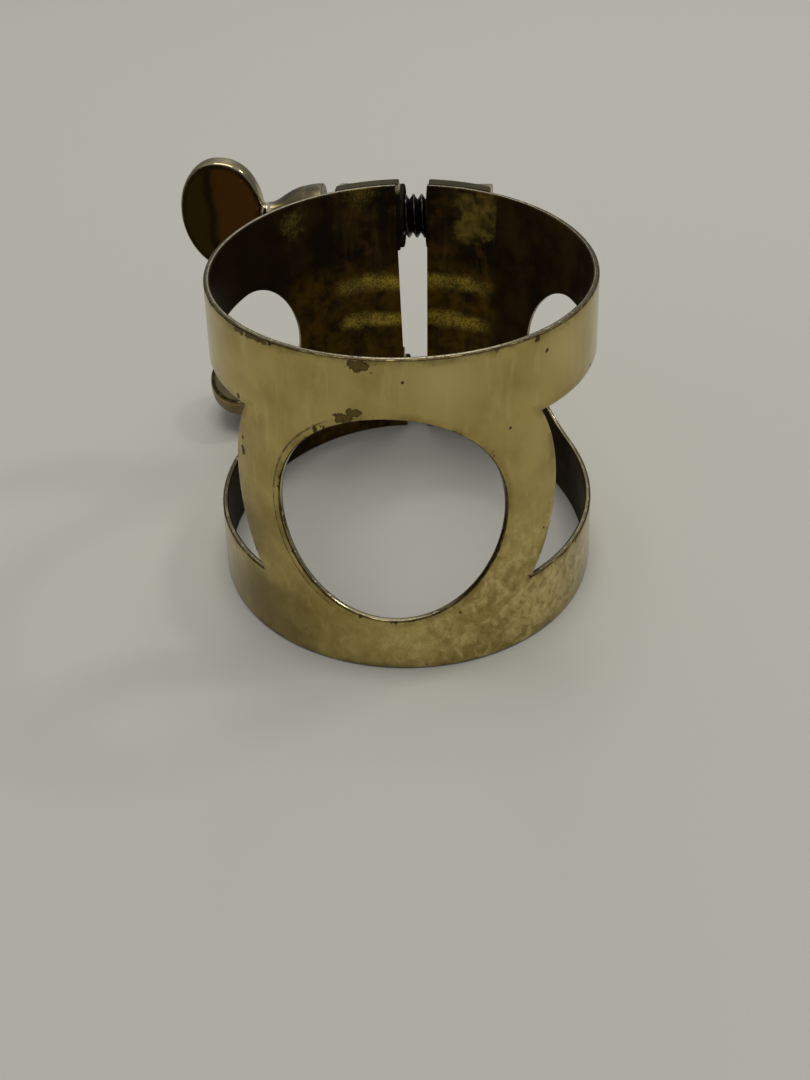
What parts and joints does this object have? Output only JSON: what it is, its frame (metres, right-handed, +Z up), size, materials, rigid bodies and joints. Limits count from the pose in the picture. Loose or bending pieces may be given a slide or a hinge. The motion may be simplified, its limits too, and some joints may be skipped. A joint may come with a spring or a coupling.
{
  "type": "saxophone ligature",
  "caption": "Split brass band that clamps a reed to a saxophone mouthpiece, with a round front hole, side windows and thumbscrews that draw the slit closed.",
  "frame": {"origin": "centre of the band's wide lower rim, on the band's axis", "axes": "+Z up along the band's axis towards its narrow rim, +Y towards the slit and the screws, +X towards the tapped posts, so that the paddles are at -X"},
  "size_m": [0.0319, 0.0338, 0.0226],
  "materials": {
    "band": "worn gold lacquer",
    "upper_left_post": "worn gold lacquer, dulled",
    "upper_right_post": "worn gold lacquer, dulled",
    "lower_left_post": "worn gold lacquer, dulled",
    "lower_right_post": "worn gold lacquer, dulled",
    "upper_stud": "darkened bare metal",
    "lower_stud": "darkened bare metal",
    "upper_collar": "worn gold lacquer",
    "lower_collar": "worn gold lacquer",
    "upper_paddle": "polished, worn gold lacquer",
    "lower_paddle": "polished, worn gold lacquer"
  },
  "bodies": {
    "band": {"band": "band", "upper_left_post": "upper_left_post", "lower_left_post": "lower_left_post"},
    "right_side": {"upper_right_post": "upper_right_post", "lower_right_post": "lower_right_post"},
    "upper_collar": {"upper_collar": "upper_collar"},
    "upper_thumbscrew": {"upper_stud": "upper_stud", "upper_paddle": "upper_paddle"},
    "lower_collar": {"lower_collar": "lower_collar"},
    "lower_thumbscrew": {"lower_stud": "lower_stud", "lower_paddle": "lower_paddle"}
  },
  "joints": [
    {"name": "band_closing", "type": "hinge", "parent": "band", "child": "right_side", "pos_m": [0.00324, -0.0124, 0], "axis": [0, 0, 1], "range_deg": [0, 2.58], "stiffness_Nm_per_rad": 0.21, "deforming": ["band"]},
    {"name": "upper_screw_advance", "type": "slide", "parent": "band", "child": "upper_collar", "axis": [1, 0, 0], "range_m": [-0.0048, 0.00113]},
    {"name": "upper_screw_turn", "type": "hinge", "parent": "upper_collar", "child": "upper_thumbscrew", "pos_m": [-0.0075, 0.01436, 0.0185], "axis": [1, 0, 0], "range_deg": [-2881, 681]},
    {"name": "lower_screw_advance", "type": "slide", "parent": "band", "child": "lower_collar", "axis": [1, 0, 0], "range_m": [-0.0042, 0.00173]},
    {"name": "lower_screw_turn", "type": "hinge", "parent": "lower_collar", "child": "lower_thumbscrew", "pos_m": [-0.0081, 0.01587, 0.0033], "axis": [1, 0, 0], "range_deg": [-2521, 1041]}
  ],
  "couplings": [
    {"joint": "upper_screw_turn", "follows": "upper_screw_advance", "rad_per_m": 10472},
    {"joint": "lower_screw_turn", "follows": "lower_screw_advance", "rad_per_m": 10472}
  ]
}
